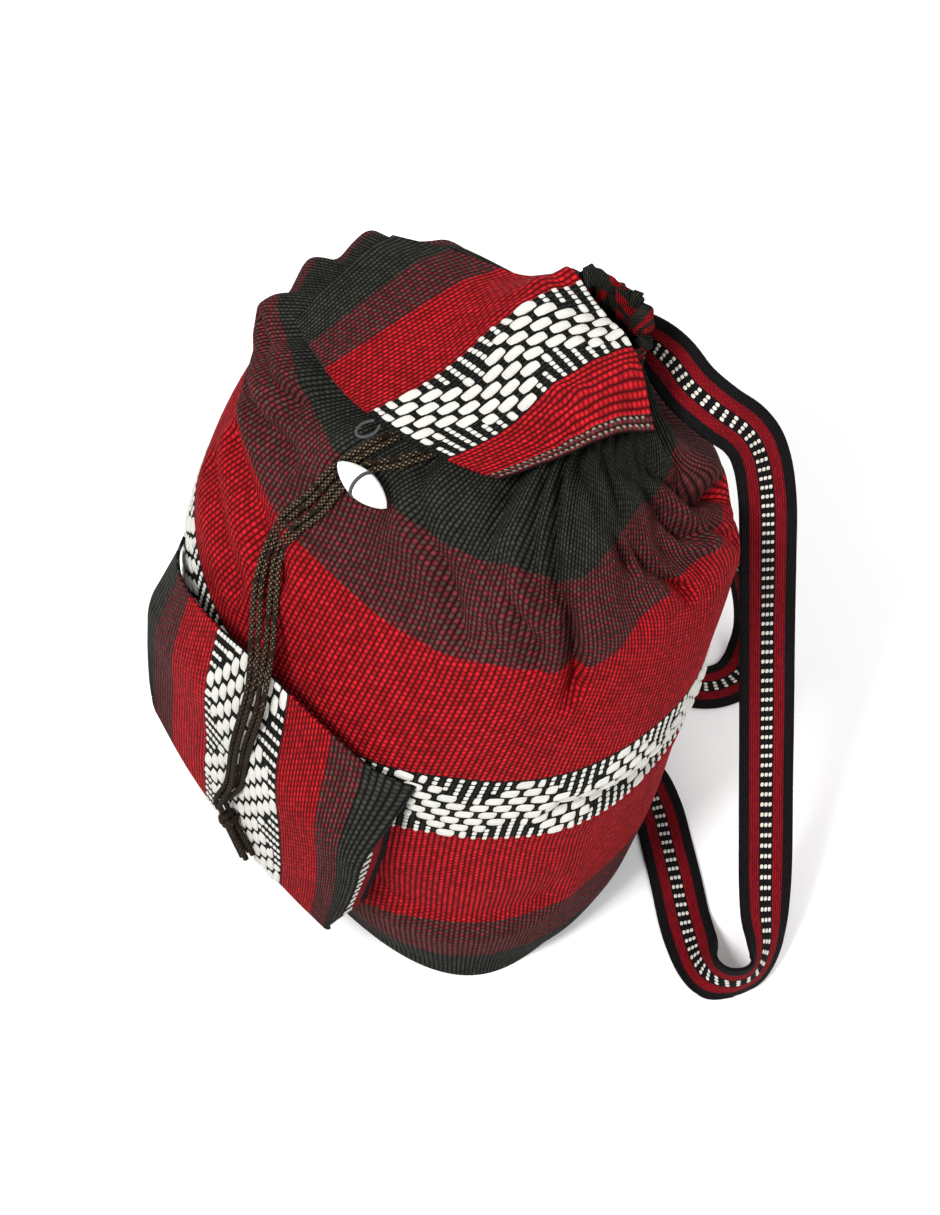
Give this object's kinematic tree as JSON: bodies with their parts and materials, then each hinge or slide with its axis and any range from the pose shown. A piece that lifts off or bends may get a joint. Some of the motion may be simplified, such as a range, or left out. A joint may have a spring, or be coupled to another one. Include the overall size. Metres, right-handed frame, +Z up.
{
  "type": "drawstring backpack",
  "caption": "Soft woven drawstring backpack with a gathered mouth under a wide flap, a patch pocket, a toggle and two sash straps.",
  "frame": {"origin": "middle of the flat base, on the floor", "axes": "+Z up, -Y the side with the patch pocket, +Y the side with the shoulder straps"},
  "size_m": [0.4152, 0.368, 0.3675],
  "materials": {
    "woven_cloth": "coarse ribbed weave in black, dark red, red and white stripes",
    "woven_sash": "narrow ribbed band with a chequered middle stripe",
    "braided_cord": "braided cord with light flecks",
    "thread_cord": "thin dark cord",
    "toggle_body": "polished off-white"
  },
  "bodies": {
    "bag": {"bag_body": "woven_cloth", "base_panel": "woven_cloth", "top_flap": "woven_cloth", "pocket_front": "woven_cloth", "shoulder_strap_left": "woven_sash", "shoulder_strap_right": "woven_sash", "pocket_gusset": "woven_sash", "drawcord_ring": "braided_cord", "drawcord_strand_1": "braided_cord", "drawcord_strand_2": "braided_cord", "drawcord_strand_3": "braided_cord", "drawcord_strand_4": "braided_cord", "drawcord_knot": "braided_cord", "flap_loop": "thread_cord"},
    "toggle": {"toggle": "toggle_body", "toggle_tie": "thread_cord"}
  },
  "joints": [
    {"name": "toggle_swivel", "type": "hinge", "parent": "bag", "child": "toggle", "pos_m": [0.002, 0.004, 0.28696], "axis": [0.0148, -0.7288, 0.6845], "range_deg": [-90, 90]}
  ]
}
